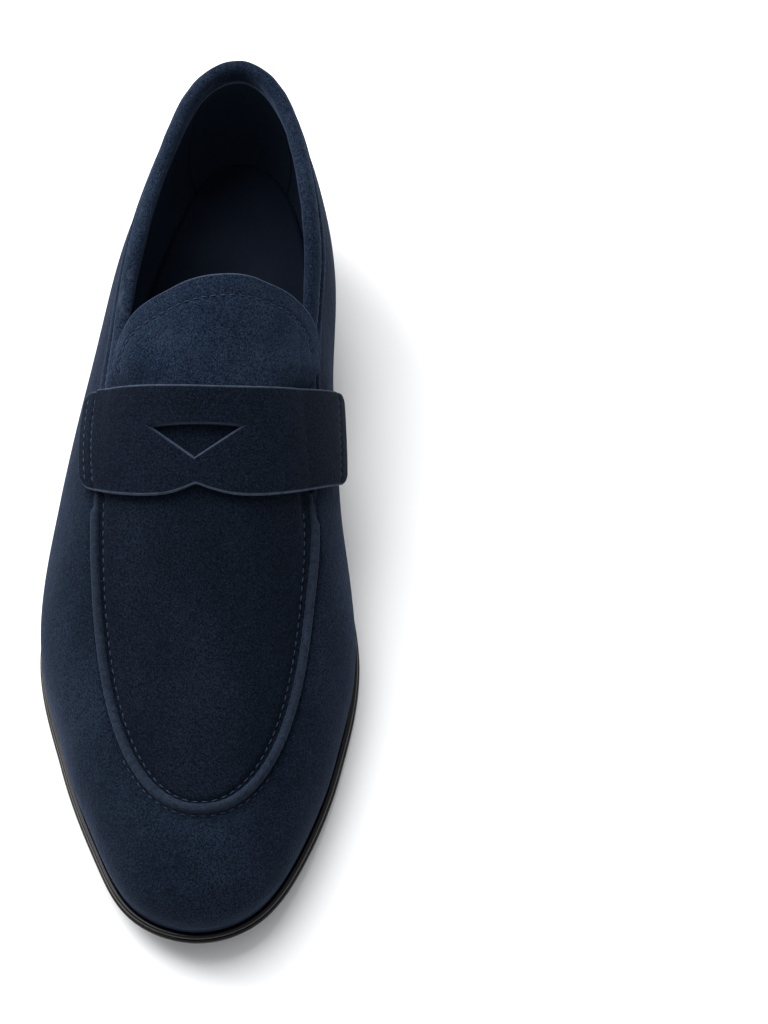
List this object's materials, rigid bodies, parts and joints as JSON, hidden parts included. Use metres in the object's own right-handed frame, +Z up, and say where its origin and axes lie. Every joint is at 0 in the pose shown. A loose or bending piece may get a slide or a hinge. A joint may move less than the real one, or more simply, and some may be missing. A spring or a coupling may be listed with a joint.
{
  "type": "penny loafer",
  "caption": "Suede slip-on loafer for the right foot: piped apron, saddle strap with a coin slot, hinged tongue, padded collar and a stacked heel.",
  "frame": {"origin": "centre of the shoe's outline on the ground", "axes": "+Z up, -Y towards the toe, +Y towards the heel, -X to the outer (lateral) side of this right shoe"},
  "size_m": [0.1078, 0.3008, 0.099],
  "materials": {
    "suede": "dark navy suede with a short nap",
    "lining": "smooth dark navy lining leather",
    "grip": "dark navy suede heel grip",
    "sock": "smooth navy sock leather with a low sheen",
    "foam": "open-cell foam",
    "stiffener": "pressed stiffener board",
    "board": "fibre insole board",
    "cork": "granulated cork",
    "steel": "plain steel",
    "rand": "black waxed leather edge",
    "sole": "black waxed leather edge with a soft gloss",
    "heel": "black waxed stacked leather",
    "top_piece": "matte black rubber"
  },
  "bodies": {
    "shoe": {"upper_wall": "suede", "apron": "suede", "apron_piping": "suede", "saddle_strap": "suede", "strap_lining": "lining", "collar_binding": "suede", "collar_foam": "foam", "back_strip": "suede", "toe_puff": "stiffener", "heel_counter": "stiffener", "vamp_lining": "lining", "quarter_lining_lateral": "lining", "quarter_lining_medial": "lining", "heel_grip": "grip", "sock_liner": "sock", "footbed_foam": "foam", "insole_board": "board", "cork_filler": "cork", "shank": "steel", "sole_rand": "rand", "outsole": "sole", "heel_lift_1": "heel", "heel_lift_2": "heel", "heel_lift_3": "heel", "top_piece": "top_piece", "heel_nail_1": "steel", "heel_nail_2": "steel", "heel_nail_3": "steel", "heel_nail_4": "steel", "heel_nail_5": "steel"},
    "tongue": {"tongue": "suede", "tongue_lining": "lining"}
  },
  "joints": [
    {"name": "tongue_lift", "type": "hinge", "parent": "shoe", "child": "tongue", "pos_m": [0.002, 0.0155, 0.082], "axis": [1, 0, 0], "range_deg": [0, 35], "stiffness_Nm_per_rad": 0.05}
  ]
}
